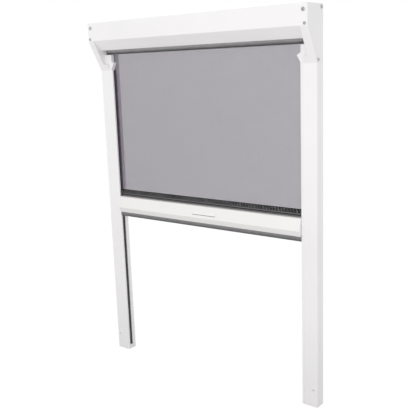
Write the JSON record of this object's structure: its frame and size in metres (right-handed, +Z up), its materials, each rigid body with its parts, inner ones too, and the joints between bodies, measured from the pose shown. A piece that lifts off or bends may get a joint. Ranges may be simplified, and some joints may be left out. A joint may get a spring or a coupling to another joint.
{
  "type": "retractable window insect screen",
  "caption": "White retractable insect screen for a window: roller cassette with end caps, two slotted guide rails, a sliding pull bar and a grey net drawn half way.",
  "frame": {"origin": "on the ground under the middle of the cassette, between the feet of the two rails", "axes": "+X along the cassette to the right as seen from the room, +Y to the back face that is fixed to the window, +Z up the rails"},
  "size_m": [0.503, 0.0525, 0.7],
  "materials": {
    "white_aluminium": "satin",
    "white_plastic": "satin",
    "black_pile": "matte",
    "insect_net": "matte",
    "net_roll": "matte",
    "hem_band": "matte",
    "grey_plastic": "matte",
    "steel": "satin",
    "roller_aluminium": "satin"
  },
  "bodies": {
    "frame": {"cassette_housing": "white_aluminium", "exit_brush": "black_pile", "end_cap_left": "white_plastic", "end_cap_right": "white_plastic", "inlet_guide_left": "white_plastic", "inlet_guide_right": "white_plastic", "guide_rail_left": "white_aluminium", "guide_rail_right": "white_aluminium", "rail_brush_front_left": "black_pile", "rail_brush_front_right": "black_pile", "rail_brush_rear_left": "black_pile", "rail_brush_rear_right": "black_pile", "rail_foot_left": "white_plastic", "rail_foot_right": "white_plastic", "idle_pin": "steel", "spring_shaft": "steel", "cap_screws": "steel", "insect_net": "insect_net"},
    "pull_bar": {"net_hem": "hem_band", "hem_cord": "grey_plastic", "pull_bar": "white_aluminium", "bar_end_left": "white_plastic", "bar_end_right": "white_plastic", "grip": "white_plastic", "bar_brush": "black_pile"},
    "roller": {"roller_tube": "roller_aluminium", "net_roll": "net_roll", "idle_plug": "grey_plastic", "spring_plug": "grey_plastic", "torsion_spring": "steel"}
  },
  "joints": [
    {"name": "bar_slide", "type": "slide", "parent": "frame", "child": "pull_bar", "axis": [0, 0, 1], "range_m": [-0.302, 0.258], "deforming": ["insect_net"]},
    {"name": "roller_spin", "type": "hinge", "parent": "frame", "child": "roller", "pos_m": [0, -0.0011, 0.675], "axis": [1, 0, 0], "range_deg": [-1200, 1025]}
  ],
  "couplings": [
    {"joint": "roller_spin", "follows": "bar_slide", "rad_per_m": 68.966}
  ]
}
